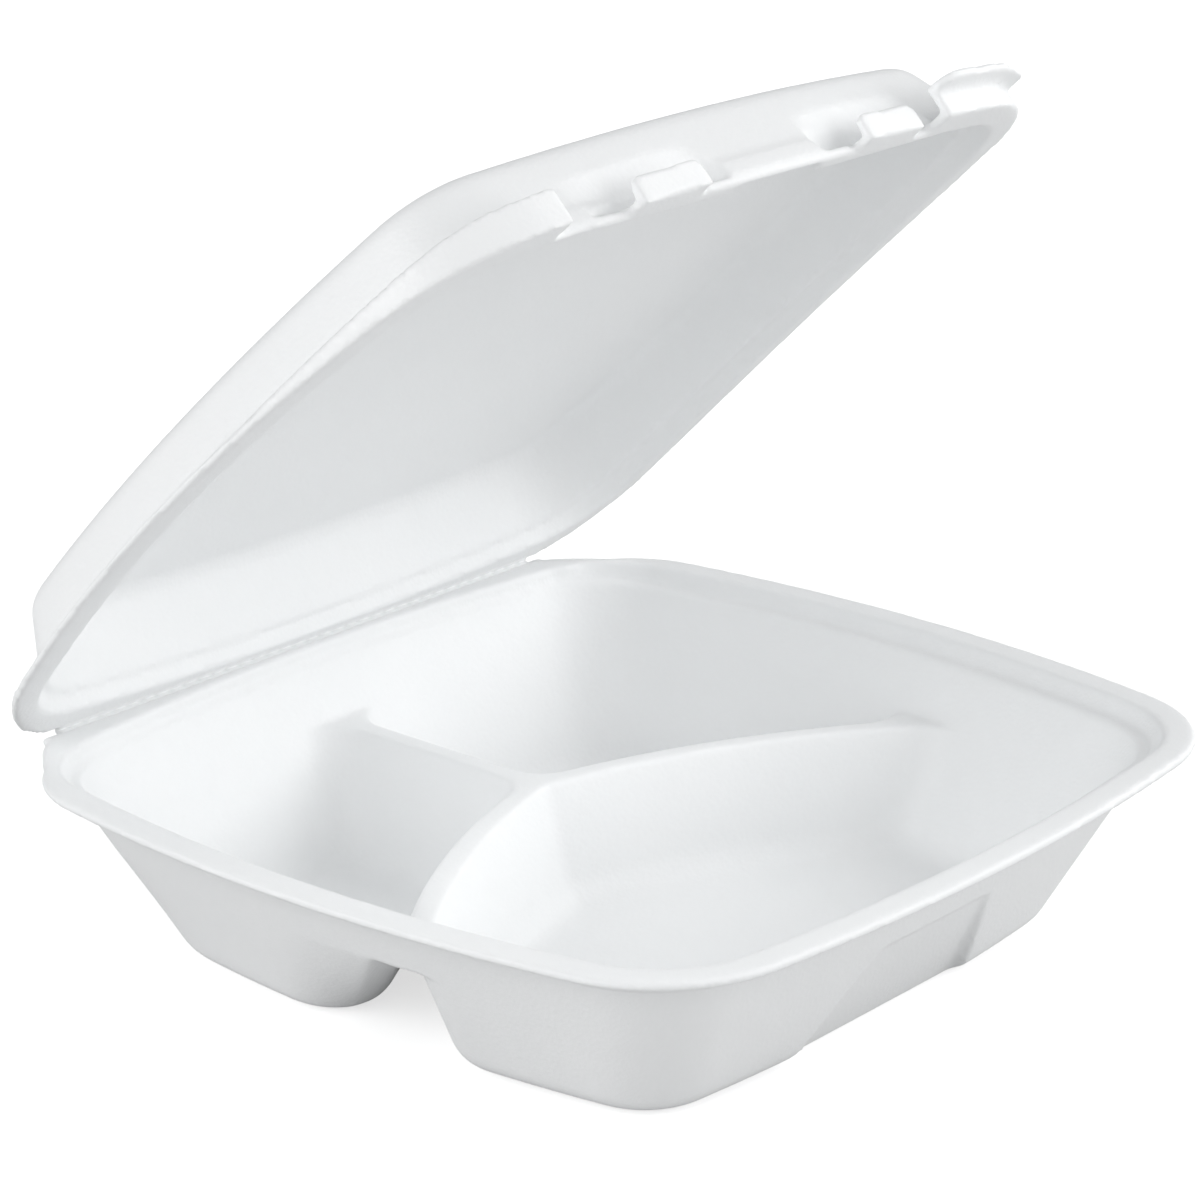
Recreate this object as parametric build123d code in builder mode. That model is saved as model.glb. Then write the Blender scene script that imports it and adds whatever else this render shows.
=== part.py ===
from build123d import *
import os
from math import atan2, cos, degrees, hypot, radians, sin, sqrt, tan

# A foam clamshell container: a tray with three compartments and a domed lid, pressed from one sheet.
# The origin lies on the table under the middle of the tray. X runs along the hinge, the front is at -Y
# and the hinge line is at the back. The lid stands part open, as the container is shown.

# The foam sheet
sheet = 2.4
edge_round = 1.1

# An edge counts as upright when its direction is this near to it
upright_share = 0.94

# The rim, which the tray and the lid share
rim_width = 238.0
rim_depth = 221.0
widest_from_hinge = 98.0
side_bow_radius = 430.0
front_bow_radius = 620.0
back_bow_radius = 640.0
front_corner_radius = 38.0
back_corner_radius = 30.0
rim_back_inset = 3.0

# The pressed hinge line between the two rims
hinge_length = 181.0
hinge_gap = 0.3
hinge_notch_radius = 5.0
perforation_pitch = 4.8
perforation_length = 2.2
perforation_depth = 0.7
open_angle = 43.5

# The lip of the rim and the step inside it
lip_width = 8.0
step_width = 2.5
step_height = 4.5
ledge_width = 3.0
back_lip_width = 0.8
back_step_width = 1.0
back_ledge_width = 1.0
step_front_radius = 29.0
step_back_radius = 24.0

# The tray and its compartments
tray_height = 50.0
wall_draft = 27.5
wall_front_radius = 25.0
wall_back_radius = 22.0
floor_corner_radius = 17.0
floor_round = 8.0
crest_below_rim = 18.0
crown_width = 5.5
junction_from_hinge = 80.0
arm_radius = 227.0
arm_reach = 92.0
arm_fall = 45.0
arm_front_draft = 15.0
arm_back_draft = 24.0
stem_draft = 24.0
junction_radius = 8.0
arm_corner_radius = 12.0
stem_corner_radius = 11.0

# The pushed-in panel of the tray's front wall
recess_foot_half_width = 34.0
recess_head_half_width = 17.0
recess_depth = 4.5
recess_below_rim = 12.0

# The latch slots under the tray's front rim
slot_length = 30.0
slot_height = 1.6
slot_from_middle = 39.0

# The lid
lid_height = 26.0
lid_draft = 20.0
lid_front_lip_width = 9.5
lid_front_step_width = 1.6
lid_front_ledge_width = 0.6
lid_wall_radius = 24.0
lid_top_radius = 20.0
lid_top_round = 8.0

# The turned-up lips and latch tabs along the lid's front
tab_inset = 3.0
tab_height = 7.0
lip_height = 9.0
tab_round = 3.0
tab_width = 22.0
tab_from_middle = 39.0
left_lip_end = 73.0
lift_tab_start = 57.0
lift_tab_width = 35.0
corner_lip_start = 116.0
lift_tab_reach = 5.5
lift_tab_round = 8.0

# The dents in the lid's front wall beside the latch tabs
dent_width = 44.0
dent_depth = 4.0
dent_height = 13.0

# Worked out from the sizes above
half_width = rim_width / 2
half_crown = crown_width / 2
hinge_y = rim_depth / 2
rim_z = tray_height
axis_z = rim_z + hinge_gap / 2
ledge_z = rim_z - step_height
crest_z = rim_z - crest_below_rim
wall_inset = lip_width + step_width + ledge_width
back_step_inset = rim_back_inset + back_lip_width
back_ledge_inset = back_step_inset + back_step_width
back_wall_inset = back_ledge_inset + back_ledge_width
lid_front_wall_inset = lid_front_lip_width + lid_front_step_width + lid_front_ledge_width
arm_chord = hypot(arm_reach, arm_fall)
arm_rise = sqrt(arm_radius**2 - (arm_chord / 2) ** 2)
arm_centre_x = arm_reach / 2 - arm_rise * arm_fall / arm_chord
arm_centre_y = -junction_from_hinge - arm_fall / 2 - arm_rise * arm_reach / arm_chord
perforation_count = int((hinge_length - 2 * hinge_notch_radius) / perforation_pitch)
overrun = rim_width
lid_front_foot_inset = lid_front_lip_width - sheet * (1 - sin(radians(lid_draft))) / cos(radians(lid_draft))


def slant(thickness, draft):
    """How wide a sheet measures across when it is cut level through a drafted wall."""
    return thickness / cos(radians(draft))


def step_back(thickness, draft):
    """How far a drafted face moves across when the sheet behind it is followed down by a thickness."""
    return slant(thickness, draft) - thickness * tan(radians(draft))


def rim_outline(side, front, back, front_corner, back_corner):
    """The bowed outline, moved in from the rim at its sides, front and back, with its origin on the hinge."""
    with BuildSketch() as outline:
        with Locations((half_width - side_bow_radius, -widest_from_hinge)):
            Circle(side_bow_radius - side)
        with Locations((side_bow_radius - half_width, -widest_from_hinge)):
            Circle(side_bow_radius - side, mode=Mode.INTERSECT)
        with Locations((0, front_bow_radius - rim_depth)):
            Circle(front_bow_radius - front, mode=Mode.INTERSECT)
        with Locations((0, -back_bow_radius)):
            Circle(back_bow_radius - back, mode=Mode.INTERSECT)
        fillet(outline.vertices().group_by(Axis.Y)[0], front_corner)
        fillet(outline.vertices().group_by(Axis.Y)[-1], back_corner)
    return outline.sketch


def tray_level(height):
    """A level plane of the tray with its origin on the hinge line."""
    return Plane(origin=(0, hinge_y, height), x_dir=(1, 0, 0), z_dir=(0, 0, 1))


def lid_level(height):
    """A plane of the open lid, a height above its rim's underside, with its origin on the hinge line."""
    normal = Vector(0, sin(radians(open_angle)), cos(radians(open_angle)))
    origin = Vector(0, hinge_y, axis_z) + normal * (hinge_gap / 2 + height)
    return Plane(origin=origin, x_dir=(1, 0, 0), z_dir=normal)


def wall_outline(height, thickness):
    """The outline of the tray's drafted wall at a height, inside it or a thickness further out."""
    inwards = (ledge_z - height) * tan(radians(wall_draft)) - slant(thickness, wall_draft)
    share = (ledge_z - height) / ledge_z
    return rim_outline(
        wall_inset + inwards,
        wall_inset + inwards,
        back_wall_inset + inwards,
        wall_front_radius + (floor_corner_radius - wall_front_radius) * share + thickness,
        wall_back_radius + (floor_corner_radius - wall_back_radius) * share + thickness,
    )


def basin(thickness):
    """The open space above the dividers, or that space with the sheet around it."""
    with BuildPart() as space:
        for height in (ledge_z, crest_z - thickness):
            with BuildSketch(tray_level(height)):
                add(wall_outline(height, thickness))
        loft(ruled=True)
    return space.part


def step_space(thickness):
    """The stepped space inside the tray's lip, or that space with the sheet around it."""
    draft = degrees(atan2(step_width, step_height))
    back_draft = degrees(atan2(back_step_width, step_height))
    grown = step_back(thickness, draft)
    back_grown = step_back(thickness, back_draft)
    with BuildPart() as space:
        for height, inset, back_inset in (
            (rim_z - thickness, lip_width, back_step_inset),
            (ledge_z - thickness, lip_width + step_width, back_ledge_inset),
        ):
            with BuildSketch(tray_level(height)):
                add(
                    rim_outline(
                        inset - grown,
                        inset - grown,
                        back_inset - back_grown,
                        step_front_radius + thickness,
                        step_back_radius + thickness,
                    )
                )
        loft(ruled=True)
    return space.part


def front_pocket(thickness):
    """The large front compartment, or that space with the sheet around it."""
    with BuildPart() as pocket:
        for height in (crest_z - thickness, sheet - thickness):
            radius = arm_radius - half_crown + slant(thickness, arm_front_draft)
            radius -= (crest_z - height) * tan(radians(arm_front_draft))
            with BuildSketch(tray_level(height)) as section:
                add(wall_outline(height, thickness))
                with Locations((arm_centre_x, arm_centre_y)):
                    Circle(radius, mode=Mode.INTERSECT)
                with Locations((-arm_centre_x, arm_centre_y)):
                    Circle(radius, mode=Mode.INTERSECT)
                fillet(section.vertices().sort_by(Axis.Y)[-1], junction_radius + thickness)
                ends = section.vertices().sort_by(Axis.X)
                fillet([ends[0], ends[-1]], arm_corner_radius + thickness)
        loft(ruled=True)
        fillet(pocket.faces().sort_by(Axis.Z)[0].edges(), floor_round + thickness)
    return pocket.part


def rear_pocket(thickness):
    """The right rear compartment, or that space with the sheet around it."""
    with BuildPart() as pocket:
        for height in (crest_z - thickness, sheet - thickness):
            radius = arm_radius + half_crown - slant(thickness, arm_back_draft)
            radius += (crest_z - height) * tan(radians(arm_back_draft))
            stem = half_crown - slant(thickness, stem_draft)
            stem += (crest_z - height) * tan(radians(stem_draft))
            with BuildSketch(tray_level(height)) as section:
                add(wall_outline(height, thickness))
                with Locations((arm_centre_x, arm_centre_y)):
                    Circle(radius, mode=Mode.SUBTRACT)
                with Locations((stem, 0)):
                    Rectangle(overrun, overrun, align=(Align.MIN, Align.CENTER), mode=Mode.INTERSECT)
                fillet(section.vertices().sort_by(Axis.Y)[0], arm_corner_radius + thickness)
                fillet(section.vertices().group_by(Axis.X)[0], stem_corner_radius + thickness)
        loft(ruled=True)
        fillet(pocket.faces().sort_by(Axis.Z)[0].edges(), floor_round + thickness)
    return pocket.part


def pushed_panel(level, middle, foot, head, height, foot_half_width, head_half_width, thickness):
    """The space in front of a wall's panel that is pushed in at its foot, or a thickness further in."""
    length = hypot(height, foot - head)
    outwards = level.from_local_coords(Vector(0, -height, head - foot)) - level.origin
    origin = level.from_local_coords(Vector(middle, foot, 0))
    panel = Plane(origin=origin, x_dir=level.x_dir, z_dir=outwards).offset(-thickness)
    spread = foot_half_width - head_half_width
    below = length / 2
    with BuildPart() as space:
        with BuildSketch(panel):
            with BuildLine():
                Polyline(
                    (-foot_half_width - thickness - spread / 2, -below),
                    (foot_half_width + thickness + spread / 2, -below),
                    (head_half_width + thickness, length),
                    (-head_half_width - thickness, length),
                    close=True,
                )
            make_face()
        extrude(amount=length)
    return space.part


def recess_space(thickness):
    """The space in front of the tray's pushed-in front panel."""
    height = rim_z - recess_below_rim
    wall_foot = wall_inset + ledge_z * tan(radians(wall_draft)) - slant(sheet, wall_draft) - rim_depth
    head = wall_foot - height * tan(radians(wall_draft))
    foot = wall_foot + recess_depth
    return pushed_panel(
        tray_level(0), 0, foot, head, height, recess_foot_half_width, recess_head_half_width, thickness
    )


def rim_plate(level):
    """The rim as a flat sheet with its hinge strip, before its step and walls are formed."""
    with BuildPart() as plate:
        with BuildSketch(level) as flat:
            add(rim_outline(0, 0, rim_back_inset, front_corner_radius, back_corner_radius))
            with Locations((0, -hinge_gap / 2)):
                Rectangle(hinge_length, back_corner_radius, align=(Align.CENTER, Align.MAX))
            notches = flat.vertices().filter_by(lambda v: abs(abs(v.X) - hinge_length / 2) < hinge_gap)
            fillet(notches.group_by(Axis.Y)[0], hinge_notch_radius)
        extrude(amount=sheet)
        round_edges = plate.edges().filter_by(lambda e: abs(level.to_local_coords(e.center()).Y) > hinge_gap)
        flat_edges = round_edges.filter_by(lambda e: abs(e.tangent_at(0).dot(level.z_dir)) < 1 - upright_share)
        fillet(flat_edges, edge_round)
    return plate.part


def perforation(level):
    """The row of short cuts that weakens the sheet along the hinge line, cut into one rim's edge."""
    with BuildPart() as cuts:
        with BuildSketch(level):
            with Locations((0, -hinge_gap / 2)):
                with GridLocations(perforation_pitch, perforation_pitch, perforation_count, 1):
                    Rectangle(perforation_length, 2 * perforation_depth)
        extrude(amount=sheet)
    return cuts.part


def latch_slots():
    """The two slots through the tray's front step, just under its lip."""
    with BuildPart() as slots:
        with BuildSketch(tray_level(rim_z - sheet - slot_height)):
            with Locations(
                (-slot_from_middle, lip_width - rim_depth), (slot_from_middle, lip_width - rim_depth)
            ):
                Rectangle(slot_length, lip_width)
        extrude(amount=slot_height)
    return slots.part


def tray_spaces(thickness):
    """All the spaces pressed into the tray, or those spaces with the sheet around them."""
    with BuildPart() as large:
        add(front_pocket(thickness))
        add(recess_space(sheet - thickness), mode=Mode.SUBTRACT)
    right = rear_pocket(thickness)
    left = mirror(right, about=Plane.YZ, mode=Mode.PRIVATE)
    return [step_space(thickness), basin(thickness), large.part, right, left]


def lid_step_space(thickness):
    """The stepped space inside the lid's lip, or that space with the sheet around it."""
    draft = degrees(atan2(step_width, step_height))
    front_draft = degrees(atan2(lid_front_step_width, step_height))
    back_draft = degrees(atan2(back_step_width, step_height))
    grown = step_back(thickness, draft)
    front_grown = step_back(thickness, front_draft)
    back_grown = step_back(thickness, back_draft)
    with BuildPart() as space:
        for height, inset, front_inset, back_inset in (
            (thickness, lip_width, lid_front_lip_width, back_step_inset),
            (
                step_height + thickness,
                lip_width + step_width,
                lid_front_lip_width + lid_front_step_width,
                back_ledge_inset,
            ),
        ):
            with BuildSketch(lid_level(height)):
                add(
                    rim_outline(
                        inset - grown,
                        front_inset - front_grown,
                        back_inset - back_grown,
                        step_front_radius + thickness,
                        step_back_radius + thickness,
                    )
                )
        loft(ruled=True)
    return space.part


def lid_dome(thickness):
    """The domed space inside the lid, or that space with the sheet around it."""
    top = lid_height - sheet + thickness
    with BuildPart() as space:
        for height, share in ((step_height, 0), (top, 1)):
            inwards = (height - step_height) * tan(radians(lid_draft)) - slant(thickness, lid_draft)
            with BuildSketch(lid_level(height)):
                add(
                    rim_outline(
                        wall_inset + inwards,
                        lid_front_wall_inset + inwards,
                        back_wall_inset + inwards,
                        lid_wall_radius + (lid_top_radius - lid_wall_radius) * share + thickness,
                        lid_wall_radius + (lid_top_radius - lid_wall_radius) * share + thickness,
                    )
                )
        loft(ruled=True)
        roof = space.faces().sort_by(Axis(origin=(0, 0, 0), direction=lid_level(0).z_dir))[-1]
        fillet(roof.edges(), lid_top_round - sheet + thickness)
    return space.part


def lid_space(thickness):
    """The whole space under the lid with the dents taken from it, or that with the sheet around it."""
    with BuildPart() as space:
        add(lid_step_space(thickness))
        add(lid_dome(thickness))
        for side in (-1, 1):
            add(dent_space(side * tab_from_middle, sheet - thickness), mode=Mode.SUBTRACT)
    return space.part


def dent_space(middle, thickness):
    """The space in front of the dent beside one latch tab."""
    wall_foot = lid_front_lip_width - slant(sheet, lid_draft) - rim_depth
    head = wall_foot + dent_height * tan(radians(lid_draft))
    foot = wall_foot + dent_depth
    return pushed_panel(
        lid_level(0), middle, foot, head, dent_height, dent_width / 2, dent_width / 2, thickness
    )


def front_ring(start, end, outer, inner, foot, head):
    """A strip that follows the lid's front between two insets, two places across and two heights."""
    with BuildPart() as strip:
        with BuildSketch(lid_level(foot)):
            add(rim_outline(outer, outer, rim_back_inset, front_corner_radius - outer, back_corner_radius))
            add(
                rim_outline(inner, inner, rim_back_inset, front_corner_radius - inner, back_corner_radius),
                mode=Mode.SUBTRACT,
            )
            with Locations(((start + end) / 2, -rim_depth)):
                Rectangle(end - start, rim_depth, mode=Mode.INTERSECT)
        extrude(amount=head - foot)
    return strip.part


def latch_tab(middle):
    """A latch tab: a short floor out from the lid's front wall and a tongue turned up from it."""
    start = middle - tab_width / 2
    end = middle + tab_width / 2
    level = lid_level(0)
    with BuildPart() as tab:
        add(front_ring(start, end, tab_inset, tab_inset + sheet, 0, tab_height))
        corners = tab.edges().filter_by(lambda e: abs(e.tangent_at(0).dot(level.y_dir)) > upright_share)
        fillet(corners.filter_by(lambda e: level.to_local_coords(e.center()).Z > tab_height / 2), tab_round)
        add(front_ring(start, end, tab_inset, lid_front_lip_width, 0, sheet))
    return tab.part


def slope_above(start, end, start_height, end_height):
    """The space above a slope that climbs across the lid's front from one place to another."""
    level = lid_level(0)
    origin = level.from_local_coords(Vector(0, -rim_depth, 0))
    front = Plane(origin=origin, x_dir=level.x_dir, z_dir=-level.y_dir)
    with BuildPart() as space:
        with BuildSketch(front):
            with BuildLine():
                Polyline(
                    (start, start_height),
                    (end, end_height),
                    (end, 2 * end_height),
                    (start, 2 * end_height),
                    close=True,
                )
            make_face()
        extrude(amount=rim_depth / 2, both=True)
    return space.part


def left_lip():
    """The lip at the lid's left corner, which turns up higher and higher towards its free end."""
    with BuildPart() as lip:
        add(front_ring(-corner_lip_start, -left_lip_end, 0, sheet, 0, lip_height))
        add(slope_above(-corner_lip_start, -left_lip_end, sheet, lip_height), mode=Mode.SUBTRACT)
    return lip.part


def lift_tab():
    """The lip at the lid's right corner, turned up and flared out at its top as a tab for the thumb."""
    tab_end = lift_tab_start + lift_tab_width
    level = lid_level(0)
    with BuildPart() as tab:
        add(front_ring(lift_tab_start, corner_lip_start, 0, sheet, 0, lip_height))
        add(slope_above(corner_lip_start, tab_end, sheet, lip_height), mode=Mode.SUBTRACT)
        add(front_ring(lift_tab_start, tab_end, -lift_tab_reach, sheet, lip_height - sheet, lip_height))
        tips = tab.edges().filter_by(lambda e: abs(e.tangent_at(0).dot(level.z_dir)) > upright_share)
        outer = tips.filter_by(lambda e: level.to_local_coords(e.center()).Z > lip_height - sheet)
        fillet(outer.sort_by(Axis.Y)[:2], lift_tab_round - sheet)
    return tab.part


with BuildPart() as base_tray:
    add(rim_plate(tray_level(rim_z - sheet)))
    for space in tray_spaces(sheet):
        add(space)
    for space in tray_spaces(0):
        add(space, mode=Mode.SUBTRACT)
    add(perforation(tray_level(rim_z - sheet)), mode=Mode.SUBTRACT)
    add(latch_slots(), mode=Mode.SUBTRACT)

with BuildPart() as lid:
    add(rim_plate(lid_level(0)))
    add(lid_space(sheet))
    add(lid_space(0), mode=Mode.SUBTRACT)
    add(
        front_ring(-left_lip_end, lift_tab_start, -sheet, lid_front_foot_inset, 0, sheet),
        mode=Mode.SUBTRACT,
    )
    for middle in (-tab_from_middle, tab_from_middle):
        add(latch_tab(middle))
    add(left_lip())
    add(lift_tab())
    add(perforation(lid_level(0)), mode=Mode.SUBTRACT)

os.makedirs("parts", exist_ok=True)
for piece, name in ((base_tray, "base_tray"), (lid, "lid")):
    piece.part.label = name
    export_step(piece.part, f"parts/{name}.step")
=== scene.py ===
"""Dresses the foam clamshell container: the soft foam tray and lid, the pressed hinge line and a studio."""
import logging
import math
from dataclasses import dataclass, field
from enum import Enum

import bmesh
import bpy
import numpy as np
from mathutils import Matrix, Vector


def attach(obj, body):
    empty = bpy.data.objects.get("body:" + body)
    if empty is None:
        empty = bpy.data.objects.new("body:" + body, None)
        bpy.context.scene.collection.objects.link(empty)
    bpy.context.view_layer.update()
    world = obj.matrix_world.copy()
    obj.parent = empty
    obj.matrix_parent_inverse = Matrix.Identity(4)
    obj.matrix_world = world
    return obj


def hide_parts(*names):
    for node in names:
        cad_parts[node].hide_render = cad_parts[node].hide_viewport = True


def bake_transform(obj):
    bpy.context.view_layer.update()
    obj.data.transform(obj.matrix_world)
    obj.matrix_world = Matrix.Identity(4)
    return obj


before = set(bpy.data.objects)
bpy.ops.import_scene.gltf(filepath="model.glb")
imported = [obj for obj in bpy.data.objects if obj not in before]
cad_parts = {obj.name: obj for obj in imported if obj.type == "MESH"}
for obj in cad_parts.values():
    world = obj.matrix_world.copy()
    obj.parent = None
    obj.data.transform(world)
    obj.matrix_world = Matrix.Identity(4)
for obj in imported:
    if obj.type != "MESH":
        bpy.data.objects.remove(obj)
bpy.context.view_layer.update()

log = logging.getLogger("foam_clamshell")

MM = 0.001
WHITE = (1, 1, 1, 1)

# The hinge line, the rims, the sheet and the lid's opening in degrees, as the solids have them.
AXIS = (0.0, 0.1105, 0.05015)
RIM_WIDTH = 0.238
RIM_DEPTH = 0.221
LID_HEIGHT = 0.026
SHEET = 0.0024
HINGE_GAP = 0.00015
OPEN_ANGLE = 43.5

# The plates at the ends of the hinge line: millimetres across from the middle and back from the line.
TRAY_CORNER = (
    (85, 0.4),
    (90, 2.0),
    (95, 5.8),
    (99, 10.4),
    (103, 15.2),
    (100, 16),
    (95, 13.5),
    (90, 12),
    (80, 7),
)
LID_CORNER = (
    (85, 0.4),
    (93, 2.4),
    (100, 7),
    (105.5, 13.5),
    (110, 21),
    (113, 28),
    (111, 29),
    (106, 21),
    (99, 15),
    (80, 7),
)


class LampSide(Enum):
    """Which side of the container a lamp lights."""

    FRONT = "front"
    LEFT = "left"
    BACK_LEFT = "back_left"
    RIGHT = "right"
    FRONT_RIGHT = "front_right"
    TOP = "top"


class Value:
    """A node's output, which adds Math nodes when it is used in an expression."""

    def __init__(self, sheet: "NodeSheet", socket: bpy.types.NodeSocket | None) -> None:
        """Wraps a socket.

        Args:
            sheet: the sheet of nodes that the socket is on.
            socket: the output socket, or None for a node that has none.
        """
        self.sheet = sheet
        self.socket = socket

    def _math(self, operation: str, *values: "Value | float") -> "Value":
        """Adds one Math node and returns its output."""
        return self.sheet.node("ShaderNodeMath", {"operation": operation}, dict(enumerate(values)))

    def __add__(self, other: "Value | float") -> "Value":
        """Returns self + other."""
        return self._math("ADD", self, other)

    __radd__ = __add__

    def __sub__(self, other: "Value | float") -> "Value":
        """Returns self - other."""
        return self._math("SUBTRACT", self, other)

    def __rsub__(self, other: "Value | float") -> "Value":
        """Returns other - self."""
        return self._math("SUBTRACT", other, self)

    def __mul__(self, other: "Value | float") -> "Value":
        """Returns self * other."""
        return self._math("MULTIPLY", self, other)

    __rmul__ = __mul__

    def clamp(self) -> "Value":
        """Returns self kept between 0 and 1."""
        return self.sheet.node("ShaderNodeClamp", {}, {"Value": self})


class NodeSheet:
    """The nodes of one material or of the world."""

    def __init__(self, owner: bpy.types.Material | bpy.types.World) -> None:
        """Empties the owner's nodes.

        Args:
            owner: the material or world that the nodes belong to.
        """
        owner.use_nodes = True
        self.owner = owner
        self.tree = owner.node_tree
        self.tree.nodes.clear()

    def node(self, kind: str, settings: dict, inputs: dict, output: int | str = 0) -> Value:
        """Adds one node.

        Args:
            kind: the node's type.
            settings: the node's own properties, which are set first.
            inputs: values or links by socket name or place.
            output: the output to return, by name or place.

        Returns:
            The output socket, wrapped.
        """
        made = self.tree.nodes.new(kind)
        for name, value in settings.items():
            setattr(made, name, value)
        for name, value in inputs.items():
            if isinstance(value, Value):
                self.tree.links.new(value.socket, made.inputs[name])
            else:
                made.inputs[name].default_value = value
        return Value(self, made.outputs[output] if len(made.outputs) else None)

    def mix_colour(self, factor: Value | float, first: Value | tuple, second: Value | tuple) -> Value:
        """Mixes two colours.

        Args:
            factor: the share of the second colour.
            first: the first colour.
            second: the second colour.

        Returns:
            The mixed colour.
        """
        return self.node("ShaderNodeMix", {"data_type": "RGBA"}, {0: factor, 6: first, 7: second}, 2)

    def bump(self, height: Value, distance: float, strength: float, normal: Value | None = None) -> Value:
        """Adds a bump.

        Args:
            height: the height, from 0 to 1.
            distance: the height of a full step, in metres.
            strength: how strongly it shows.
            normal: the bump under it, if there is one.

        Returns:
            The bumped normal.
        """
        inputs: dict = {"Height": height, "Distance": distance, "Strength": strength}
        if normal is not None:
            inputs["Normal"] = normal
        return self.node("ShaderNodeBump", {}, inputs)


@dataclass(frozen=True)
class FoamSkin:
    """The satin skin of thermoformed foam: fine beads under a closed surface."""

    name: str = "foam_skin"
    white: tuple = (0.935, 0.942, 0.945, 1)
    shade: tuple = (0.915, 0.925, 0.93, 1)
    roughness: float = 0.42
    refraction: float = 1.45
    specular: float = 0.5
    bead: float = 1.1 * MM
    bead_height: float = 0.12 * MM
    bead_strength: float = 0.5
    grain: float = 0.35 * MM
    grain_height: float = 0.05 * MM
    grain_strength: float = 0.6
    grain_detail: float = 3.0
    grain_falloff: float = 0.6
    ripple: float = 14 * MM
    ripple_height: float = 0.25 * MM
    ripple_strength: float = 0.35
    ripple_detail: float = 2.0
    patches_per_ripple: float = 0.4
    patch_detail: float = 3.0
    patch_contrast: float = 1.6
    patch_offset: float = 0.3
    noise_middle: float = 0.5
    grain_gloss: float = 0.16
    patch_gloss: float = 0.1

    def make(self) -> bpy.types.Material:
        """Builds the material.

        Returns:
            The finished material.
        """
        sheet = NodeSheet(bpy.data.materials.new(self.name))
        place = sheet.node("ShaderNodeTexCoord", {}, {}, "Object")
        beads = sheet.node(
            "ShaderNodeTexVoronoi", {"feature": "F1"}, {"Vector": place, "Scale": 1 / self.bead}
        )
        grain = sheet.node(
            "ShaderNodeTexNoise",
            {},
            {
                "Vector": place,
                "Scale": 1 / self.grain,
                "Detail": self.grain_detail,
                "Roughness": self.grain_falloff,
            },
        )
        ripple = sheet.node(
            "ShaderNodeTexNoise",
            {},
            {"Vector": place, "Scale": 1 / self.ripple, "Detail": self.ripple_detail},
        )
        patches = sheet.node(
            "ShaderNodeTexNoise",
            {},
            {"Vector": place, "Scale": self.patches_per_ripple / self.ripple, "Detail": self.patch_detail},
        )
        shaded = (patches * self.patch_contrast - self.patch_offset).clamp()
        uneven_grain = self.grain_gloss * (grain - self.noise_middle)
        uneven_patches = self.patch_gloss * (patches - self.noise_middle)
        normal = sheet.bump(ripple, self.ripple_height, self.ripple_strength)
        normal = sheet.bump(beads, self.bead_height, self.bead_strength, normal)
        normal = sheet.bump(grain, self.grain_height, self.grain_strength, normal)
        shader = sheet.node(
            "ShaderNodeBsdfPrincipled",
            {},
            {
                "Base Color": sheet.mix_colour(shaded, self.white, self.shade),
                "Roughness": (self.roughness + uneven_grain + uneven_patches).clamp(),
                "Normal": normal,
                "IOR": self.refraction,
                "Specular IOR Level": self.specular,
            },
        )
        sheet.node("ShaderNodeOutputMaterial", {}, {"Surface": shader})
        return sheet.owner


@dataclass(frozen=True)
class PalePaper:
    """The pale seamless floor, which shows white to the camera and keeps the object's shadow."""

    name: str = "pale_floor"
    colour: tuple = (0.62, 0.62, 0.62, 1)
    glow: float = 0.66
    gloss_glow: float = 0.1
    near: float = 0.7

    def make(self) -> bpy.types.Material:
        """Builds the material, whose glow grows to full white away from the object.

        Returns:
            The finished material.
        """
        sheet = NodeSheet(bpy.data.materials.new(self.name))
        to_camera = sheet.node("ShaderNodeLightPath", {}, {}, "Is Camera Ray")
        to_gloss = sheet.node("ShaderNodeLightPath", {}, {}, "Is Glossy Ray")
        place = sheet.node("ShaderNodeTexCoord", {}, {}, "Object")
        away = sheet.node("ShaderNodeVectorMath", {"operation": "LENGTH"}, {0: place}, "Value")
        far = ((away - self.near) * (1 / self.near)).clamp()
        share = to_camera * (self.glow + far * (1 - self.glow)) + to_gloss * self.gloss_glow
        white = sheet.node("ShaderNodeEmission", {}, {"Color": WHITE, "Strength": 1.0})
        glow = sheet.node("ShaderNodeMixShader", {}, {0: share, 2: white})
        paper = sheet.node("ShaderNodeBsdfDiffuse", {}, {"Color": self.colour})
        both = sheet.node("ShaderNodeAddShader", {}, {0: paper, 1: glow})
        sheet.node("ShaderNodeOutputMaterial", {}, {"Surface": both})
        return sheet.owner


def put_in_scene(name: str, data: bpy.types.ID) -> bpy.types.Object:
    """Makes an object and puts it into the scene.

    Args:
        name: the object's name.
        data: its mesh, camera or light.

    Returns:
        The object.
    """
    made = bpy.data.objects.new(name, data)
    bpy.context.scene.collection.objects.link(made)
    return made


def apply_modifiers(piece: bpy.types.Object) -> None:
    """Makes the modifiers' result the piece's own mesh.

    Args:
        piece: the object, which has no modifiers afterwards.
    """
    graph = bpy.context.evaluated_depsgraph_get()
    done = bpy.data.meshes.new_from_object(piece.evaluated_get(graph))
    piece.modifiers.clear()
    piece.data = done


def dress(piece: bpy.types.Object, skin: bpy.types.Material) -> None:
    """Shades a piece smooth and gives it its finish.

    Args:
        piece: the object.
        skin: the finish, the only one that the piece keeps.
    """
    for polygon in piece.data.polygons:
        polygon.use_smooth = True
    piece.data.materials.clear()
    piece.data.materials.append(skin)


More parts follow.
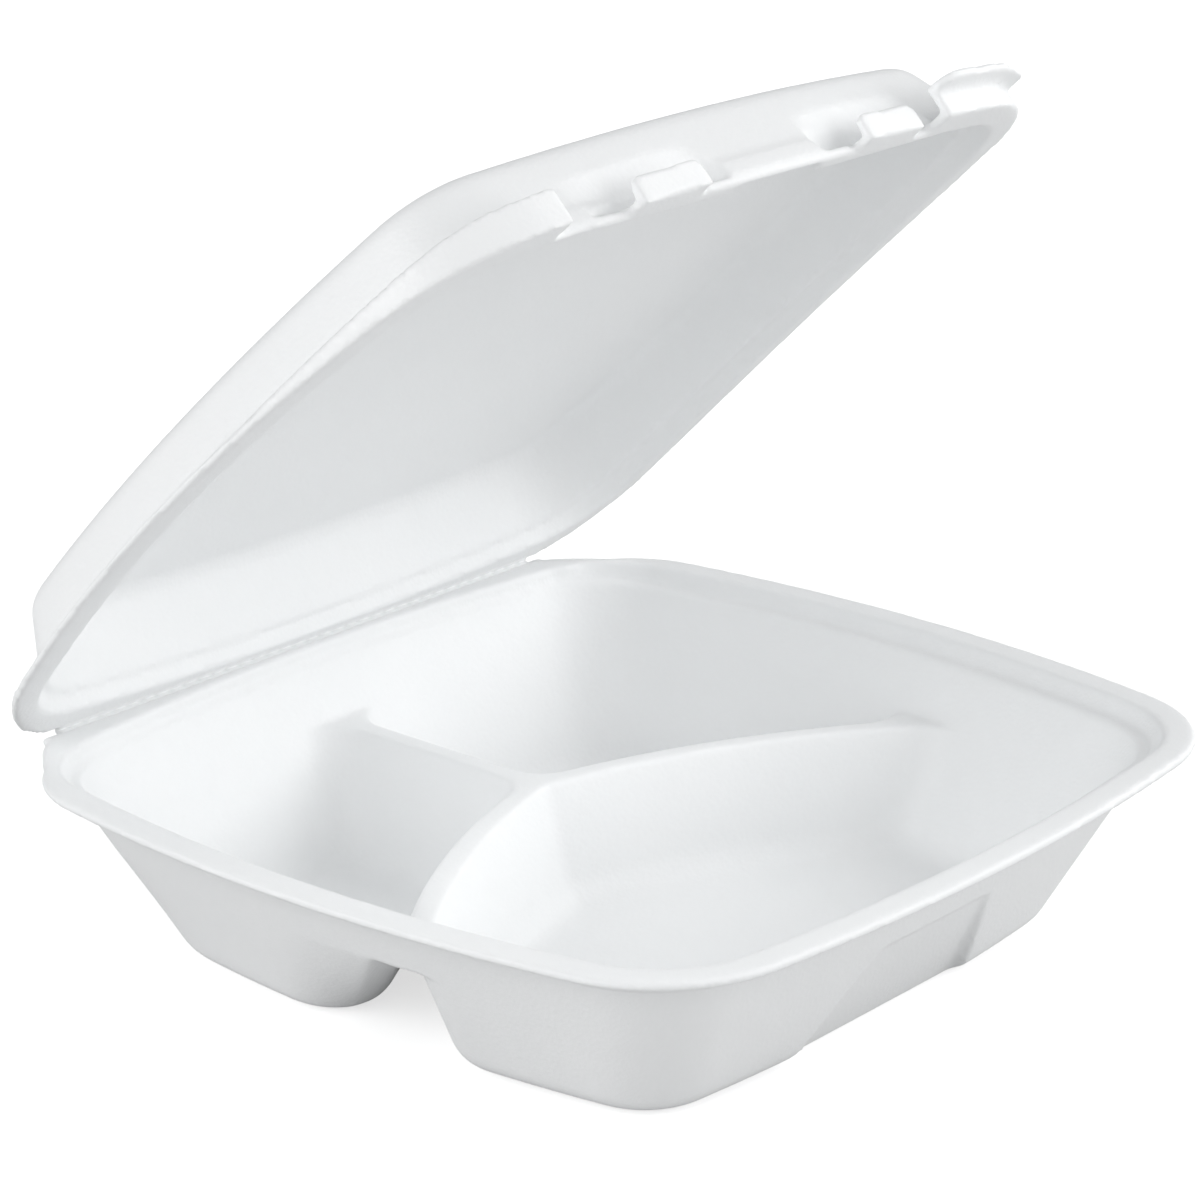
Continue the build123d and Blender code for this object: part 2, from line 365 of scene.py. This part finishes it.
@dataclass(frozen=True)
class RimPlane:
    """The plane of a rim, turned up about the hinge line by an angle in degrees."""

    angle: float = 0.0

    @property
    def up(self) -> tuple[float, float, float]:
        """Returns the direction square to the rim."""
        return 0.0, math.sin(math.radians(self.angle)), math.cos(math.radians(self.angle))

    @property
    def away(self) -> tuple[float, float, float]:
        """Returns the direction in the rim away from the hinge line."""
        return 0.0, -math.cos(math.radians(self.angle)), math.sin(math.radians(self.angle))

    def point(self, across: float, back: float, height: float) -> Vector:
        """Finds a point by its place on the rim.

        Args:
            across: metres to the right of the middle.
            back: metres from the hinge line.
            height: metres above the rim.

        Returns:
            The point.
        """
        flat = Vector(AXIS) + Vector((across, 0, 0)) + Vector(self.away) * back
        return flat + Vector(self.up) * height


@dataclass(frozen=True)
class LidForms:
    """The forms of the lid that its solid leaves out: its bow, left lip, lift tab's end and deeper dents.

    The lip and the tab are within edge_width of the rim's outer edge, which is found in edge_steps
    directions for each half turn, and past front_from on the way from -1 at the hinge line to 1 at the
    front. lip_start and lip_end lie to the left of the middle, tab_bend to its right and dent_place to both
    sides, and wall_start and wall_end are measured inwards from the rim's curved front.
    """

    side_bow: float = 5 * MM
    front_from: float = 0.3
    edge_steps: int = 360
    edge_width: float = 2 * SHEET
    lip_start: float = 0.116
    lip_end: float = 0.073
    lip_margin: float = MM
    lip_haste: float = 1.6
    lip_least: float = 0.01
    lip_most: float = 9 * MM
    tab_bend: float = 0.082
    tab_bend_length: float = 0.010
    tab_drop: float = 0.45
    front_radius: float = 0.62
    wall_start: float = 7.2 * MM
    wall_end: float = 30 * MM
    dent_place: float = 0.039
    dent_half: float = 0.021
    dent_foot: float = 1.2 * MM
    dent_height: float = 0.0125
    dent_deeper: float = 0.005

    def shape(self, mesh: bpy.types.Mesh) -> None:
        """Moves the lid's points.

        Args:
            mesh: the lid's mesh.
        """
        rim = RimPlane(OPEN_ANGLE)
        up, away = np.array(rim.up), np.array(rim.away)
        points = np.empty(len(mesh.vertices) * 3)
        mesh.vertices.foreach_get("co", points)
        points = points.reshape(-1, 3)
        from_axis = points - np.array(AXIS)
        x = points[:, 0].copy()
        height = from_axis @ up
        back = from_axis @ away
        along = back / RIM_DEPTH * 2 - 1
        across = x / (RIM_WIDTH / 2)
        edge = self._front_edge(along, across, height)
        points += self._lip_raise(x, height, edge)[:, None] * up
        points -= self._tab_drop(x, height, edge)[:, None] * up
        points -= self._dent_depth(x, height, back)[:, None] * away
        points += self._bow(along, across, height)[:, None] * up
        mesh.vertices.foreach_set("co", points.ravel())

    def _front_edge(self, along: np.ndarray, across: np.ndarray, height: np.ndarray) -> np.ndarray:
        """Picks the points near the rim's outer edge in the front half.

        Args:
            along: from -1 at the hinge line to 1 at the front.
            across: from -1 at the left to 1 at the right.
            height: metres above the rim.

        Returns:
            True for each point near the edge.
        """
        turn = np.arctan2(along, across)
        reach = np.hypot(along * RIM_DEPTH / 2, across * RIM_WIDTH / 2)
        place = ((turn / math.pi + 1) * self.edge_steps).astype(int)
        edge = np.zeros(2 * self.edge_steps + 1)
        low = height < SHEET
        np.maximum.at(edge, place[low], reach[low])
        edge = np.maximum(edge, np.maximum(np.roll(edge, 1), np.roll(edge, -1)))
        return (edge[place] - reach < self.edge_width) & (along > self.front_from)

    def _lip_raise(self, x: np.ndarray, height: np.ndarray, edge: np.ndarray) -> np.ndarray:
        """Works out how far the left lip rises, to stand at its full height sooner.

        Args:
            x: metres to the right of the middle.
            height: metres above the rim.
            edge: True near the front's outer edge.

        Returns:
            The rise of each point in metres.
        """
        share = np.clip((x + self.lip_start) / (self.lip_start - self.lip_end), 0, 1)
        lip = (x < -self.lip_end + self.lip_margin) & edge & (share > self.lip_least) & (height > SHEET)
        wanted = 1 - (1 - np.clip(share * self.lip_haste, 0, 1)) ** 2
        taller = (height - SHEET) * (wanted / np.maximum(share, self.lip_least) - 1)
        return np.clip(np.where(lip, taller, 0), 0, self.lip_most)

    def _tab_drop(self, x: np.ndarray, height: np.ndarray, edge: np.ndarray) -> np.ndarray:
        """Works out how far the lift tab's right end bends down.

        Args:
            x: metres to the right of the middle.
            height: metres above the rim.
            edge: True near the front's outer edge.

        Returns:
            The drop of each point in metres.
        """
        lower = self.tab_drop * np.clip((x - self.tab_bend) / self.tab_bend_length, 0, 1) ** 2
        return (height - SHEET) * lower * (edge & (height > SHEET))

    def _dent_depth(self, x: np.ndarray, height: np.ndarray, back: np.ndarray) -> np.ndarray:
        """Works out how much deeper the dents beside the latch tabs go.

        Args:
            x: metres to the right of the middle.
            height: metres above the rim.
            back: metres from the hinge line.

        Returns:
            The move of each point towards the hinge line in metres.
        """
        inset = RIM_DEPTH - back - x**2 / (2 * self.front_radius)
        wall = (inset > self.wall_start) & (inset < self.wall_end)
        beside = np.clip(1 - ((np.abs(x) - self.dent_place) / self.dent_half) ** 2, 0, 1) ** 0.5
        foot = np.clip((height - SHEET) / self.dent_foot, 0, 1)
        above = foot * np.clip(1 - (height - SHEET) / self.dent_height, 0, 1)
        return self.dent_deeper * beside * above * wall

    def _bow(self, along: np.ndarray, across: np.ndarray, height: np.ndarray) -> np.ndarray:
        """Works out how far the side rims bow up.

        Args:
            along: from -1 at the hinge line to 1 at the front.
            across: from -1 at the left to 1 at the right.
            height: metres above the rim.

        Returns:
            The rise of each point in metres.
        """
        share = np.clip(1 - along**2, 0, 1) * across**2 * np.clip(1 - height / LID_HEIGHT, 0, 1)
        return self.side_bow * share


@dataclass
class SoftShell:
    """A node of the foam sheet, remade as one soft-edged skin."""

    node: str
    body: str
    slot: str
    corner: tuple[tuple[float, float], ...]
    under: float
    tilt: float = 0.0
    forms: LidForms | None = None
    voxel: float = 0.9 * MM
    smooth_factor: float = 0.5
    smooth_passes: int = 5
    most_triangles: int = 190000

    def build(self, skin: bpy.types.Material) -> bpy.types.Object:
        """Remeshes the node's solid, softens it and dresses it.

        Args:
            skin: the foam's material.

        Returns:
            The piece that stands for the node.
        """
        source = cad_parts[self.node]
        mesh = source.data.copy()
        mesh.transform(source.matrix_world)
        self._fill_corners(mesh)
        piece = put_in_scene(f"{self.node}_foam", mesh)
        remesh = piece.modifiers.new("skin", "REMESH")
        remesh.mode = "VOXEL"
        remesh.voxel_size = self.voxel
        remesh.use_smooth_shade = True
        smooth = piece.modifiers.new("soft", "SMOOTH")
        smooth.factor = self.smooth_factor
        smooth.iterations = self.smooth_passes
        apply_modifiers(piece)
        self._thin_out(piece)
        if self.forms:
            self.forms.shape(piece.data)
        dress(piece, skin)
        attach(piece, self.body)
        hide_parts(self.node)
        log.info("%s: %d faces", piece.name, len(piece.data.polygons))
        return piece

    def _fill_corners(self, mesh: bpy.types.Mesh) -> None:
        """Adds the small plates that carry the rim on to the ends of the hinge line.

        Args:
            mesh: the node's mesh, which is remade as one skin afterwards.
        """
        rim = RimPlane(self.tilt)
        shape = bmesh.new()
        shape.from_mesh(mesh)
        for side in (-1, 1):
            low, high = [], []
            for across, back in self.corner:
                place = side * across * MM, back * MM
                low.append(shape.verts.new(rim.point(*place, self.under)))
                high.append(shape.verts.new(rim.point(*place, self.under + SHEET)))
            shape.faces.new(low[::side])
            shape.faces.new(high[::-side])
            for here in range(len(low)):
                after = (here + 1) % len(low)
                wall = (low[after], low[here], high[here], high[after])
                shape.faces.new(wall[::side])
        shape.to_mesh(mesh)
        shape.free()

    def _thin_out(self, piece: bpy.types.Object) -> None:
        """Takes faces out where the skin has more than most_triangles.

        Args:
            piece: the remeshed piece, whose faces have four sides.
        """
        triangles = len(piece.data.polygons) * 2
        if triangles > self.most_triangles:
            thin = piece.modifiers.new("thin", "DECIMATE")
            thin.ratio = self.most_triangles / triangles
            apply_modifiers(piece)


@dataclass
class HingeLine:
    """The thin pressed web with its row of cuts, which joins the two rims.

    profile gives the distance from the line and the depth outside the rim, from the web's edge inwards, in
    millimetres. cut_shares gives each place along a cut, from -1 to 1, with its share of the cut's depth,
    and row_shares the share at each row across the web.
    """

    length: float = 171 * MM
    pitch: float = 4.8 * MM
    cut: float = 2.2 * MM
    cut_depth: float = 0.45 * MM
    thickness: float = 0.3 * MM
    profile: tuple = ((1.6, 0.4), (0.6, 0.35), (0.25, 0.25))
    cut_shares: tuple = ((-1, 0.0), (-0.75, 1.0), (0.75, 1.0), (1, 0.0))
    row_shares: tuple = (0.0, 0.0, 0.35, 1.0, 0.35, 0.0, 0.0)

    def build(self, skin: bpy.types.Material) -> bpy.types.Object:
        """Builds the web as a strip with a row of short pressed cuts.

        Args:
            skin: the foam's material.

        Returns:
            The web.
        """
        piece = put_in_scene("hinge_line", self._strip())
        thick = piece.modifiers.new("thick", "SOLIDIFY")
        thick.thickness = self.thickness
        thick.offset = 0
        apply_modifiers(piece)
        dress(piece, skin)
        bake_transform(piece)
        log.info("%s: %d cuts", piece.name, self._cut_count())
        return piece

    def _cut_count(self) -> int:
        """Returns how many cuts fit on the line."""
        return int(self.length / self.pitch)

    def _stations(self) -> list[tuple[float, float]]:
        """Lists the places along the line where the web's shape changes.

        Returns:
            Each place in metres from the middle, with its share of the cut's depth.
        """
        count = self._cut_count()
        first = -(count - 1) / 2 * self.pitch
        stations: list[tuple[float, float]] = [(-self.length / 2, 0)]
        for place in range(count):
            centre = first + place * self.pitch
            stations += [(centre + side * self.cut / 2, share) for side, share in self.cut_shares]
        stations.append((self.length / 2, 0))
        return stations

    def _strip(self) -> bpy.types.Mesh:
        """Makes the web's middle surface.

        Returns:
            The mesh, which has no thickness yet.
        """
        tray, lid = RimPlane(), RimPlane(OPEN_ANGLE)
        half_turn = math.radians(OPEN_ANGLE) / 2
        outward = Vector((0, math.cos(half_turn), -math.sin(half_turn)))
        top = [tray.point(0, back * MM, -depth * MM) for back, depth in self.profile]
        top.append(Vector(AXIS))
        top += [lid.point(0, back * MM, depth * MM) for back, depth in reversed(self.profile)]
        shape = bmesh.new()
        rows = []
        for x, share in self._stations():
            row = []
            for point, row_share in zip(top, self.row_shares):
                depth = share * self.cut_depth * row_share
                row.append(shape.verts.new(point + Vector((x, 0, 0)) + outward * depth))
            rows.append(row)
        for near, far in zip(rows, rows[1:]):
            for across in range(len(top) - 1):
                shape.faces.new((near[across], near[across + 1], far[across + 1], far[across]))
        mesh = bpy.data.meshes.new("hinge_line")
        shape.to_mesh(mesh)
        shape.free()
        return mesh


@dataclass
class PhotoCamera:
    """The camera at the photograph's angle, with its focal length as a share of the image's width."""

    look_at: tuple = (0.02505, 0.03163, 0.07257)
    azimuth: float = -49.34
    elevation: float = 19.22
    distance: float = 0.97703
    focal_share: float = 3940.25 / 1200
    sensor: float = 36.0
    nearest: float = 0.05
    farthest: float = 30.0

    def build(self) -> bpy.types.Object:
        """Makes the camera and gives it to the scene.

        Returns:
            The camera.
        """
        turn, lift = math.radians(self.azimuth), math.radians(self.elevation)
        back = Vector((math.sin(turn) * math.cos(lift), -math.cos(turn) * math.cos(lift), math.sin(lift)))
        data = bpy.data.cameras.new("photo_camera")
        data.sensor_width = self.sensor
        data.lens = self.sensor * self.focal_share
        data.clip_start = self.nearest
        data.clip_end = self.farthest
        camera = put_in_scene("photo_camera", data)
        camera.location = Vector(self.look_at) + back * self.distance
        camera.rotation_mode = "QUATERNION"
        camera.rotation_quaternion = (-back).to_track_quat("-Z", "Y")
        bpy.context.scene.camera = camera
        log.info("%s: %.1f mm lens", camera.name, data.lens)
        return camera


@dataclass(frozen=True)
class Lamp:
    """A soft square lamp."""

    side: LampSide
    place: tuple
    size: float
    power: float
    aim: tuple = (0.0, 0.0, 0.05)

    def build(self) -> bpy.types.Object:
        """Makes the lamp, turned towards the container.

        Returns:
            The lamp.
        """
        data = bpy.data.lights.new(f"{self.side.value}_lamp", "AREA")
        data.energy = self.power
        data.size = self.size
        lamp = put_in_scene(data.name, data)
        lamp.location = self.place
        lamp.rotation_mode = "QUATERNION"
        lamp.rotation_quaternion = (Vector(self.aim) - Vector(self.place)).to_track_quat("-Z", "Y")
        log.info("%s: %.1f W", lamp.name, self.power)
        return lamp


@dataclass
class Studio:
    """The floor, the sky and the lamps."""

    floor_half: float = 6.0
    sky: float = 0.3
    sky_colour: tuple = (0.97, 0.985, 1.0, 1)
    lamps: list[Lamp] = field(
        default_factory=lambda: [
            Lamp(LampSide.FRONT, (0.0, -1.8, 0.7), 1.2, 8.6),
            Lamp(LampSide.LEFT, (-1.8, 0.0, 0.7), 1.2, 10.6),
            Lamp(LampSide.BACK_LEFT, (-1.5, 0.9, 0.9), 1.0, 11.2),
            Lamp(LampSide.RIGHT, (1.7, -0.4, 0.8), 1.2, 7.4),
            Lamp(LampSide.FRONT_RIGHT, (1.2, -1.4, 0.8), 1.0, 10.4),
            Lamp(LampSide.TOP, (1.1, -0.6, 1.6), 1.0, 7.4),
        ]
    )

    def build(self) -> None:
        """Makes the floor, the sky and each lamp."""
        self._lay_floor()
        self._hang_sky()
        for lamp in self.lamps:
            lamp.build()
        log.info("studio: %d lamps", len(self.lamps))

    def _lay_floor(self) -> None:
        """Lays the pale floor under the container."""
        half = self.floor_half
        corners = [(-half, -half, 0), (half, -half, 0), (half, half, 0), (-half, half, 0)]
        mesh = bpy.data.meshes.new("floor")
        mesh.from_pydata(corners, [], [(0, 1, 2, 3)])
        mesh.materials.append(PalePaper().make())
        floor = put_in_scene("floor", mesh)

    def _hang_sky(self) -> None:
        """Makes the world a soft pale light, which shows white to the camera."""
        world = bpy.data.worlds.new("studio")
        bpy.context.scene.world = world
        sheet = NodeSheet(world)
        sky = sheet.node("ShaderNodeBackground", {}, {"Color": self.sky_colour, "Strength": self.sky})
        white = sheet.node("ShaderNodeBackground", {}, {"Color": WHITE, "Strength": 1.0})
        to_camera = sheet.node("ShaderNodeLightPath", {}, {}, "Is Camera Ray")
        seen = sheet.node("ShaderNodeMixShader", {}, {0: to_camera, 1: sky, 2: white})
        sheet.node("ShaderNodeOutputWorld", {}, {"Surface": seen})


def main() -> None:
    """Builds the container's pieces, the camera and the studio in order."""
    logging.basicConfig(level=logging.INFO, format="%(name)s: %(message)s")
    PhotoCamera().build()
    skin = FoamSkin().make()
    SoftShell("base_tray", "tray", "tray_foam", TRAY_CORNER, -HINGE_GAP - SHEET).build(skin)
    SoftShell("lid", "lid", "lid_foam", LID_CORNER, HINGE_GAP, OPEN_ANGLE, LidForms()).build(skin)
    HingeLine().build(skin)
    Studio().build()
    bpy.context.scene.view_settings.view_transform = "Standard"


if __name__ == "__main__":
    main()
